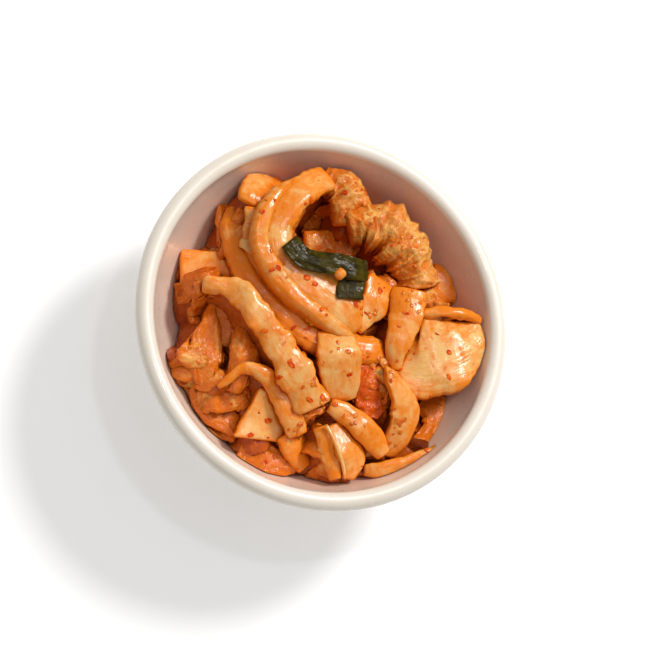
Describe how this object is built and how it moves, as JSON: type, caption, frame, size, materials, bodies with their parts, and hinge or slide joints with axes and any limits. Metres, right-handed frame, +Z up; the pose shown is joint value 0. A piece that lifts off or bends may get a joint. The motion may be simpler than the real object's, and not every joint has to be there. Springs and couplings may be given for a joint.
{
  "type": "bowl of kimchi",
  "caption": "Small round ceramic bowl with a thick rolled rim, filled with a heap of cut cabbage kimchi and topped with a folded green onion leaf.",
  "frame": {"origin": "centre of the bowl's foot ring, on the surface it stands on", "axes": "+Z up out of the bowl; seen from above, +X to the right and +Y away, with the green leaf behind the middle"},
  "size_m": [0.09, 0.09, 0.0413],
  "materials": {
    "glazed_bowl": "cream glaze, semi-gloss",
    "cabbage": "wet orange cabbage, stands for food",
    "green_leaf": "wet dark green leaf, stands for food"
  },
  "bodies": {
    "root": {"bowl": "glazed_bowl", "kimchi_heap": "cabbage", "green_onion_leaf": "green_leaf"}
  },
  "joints": []
}
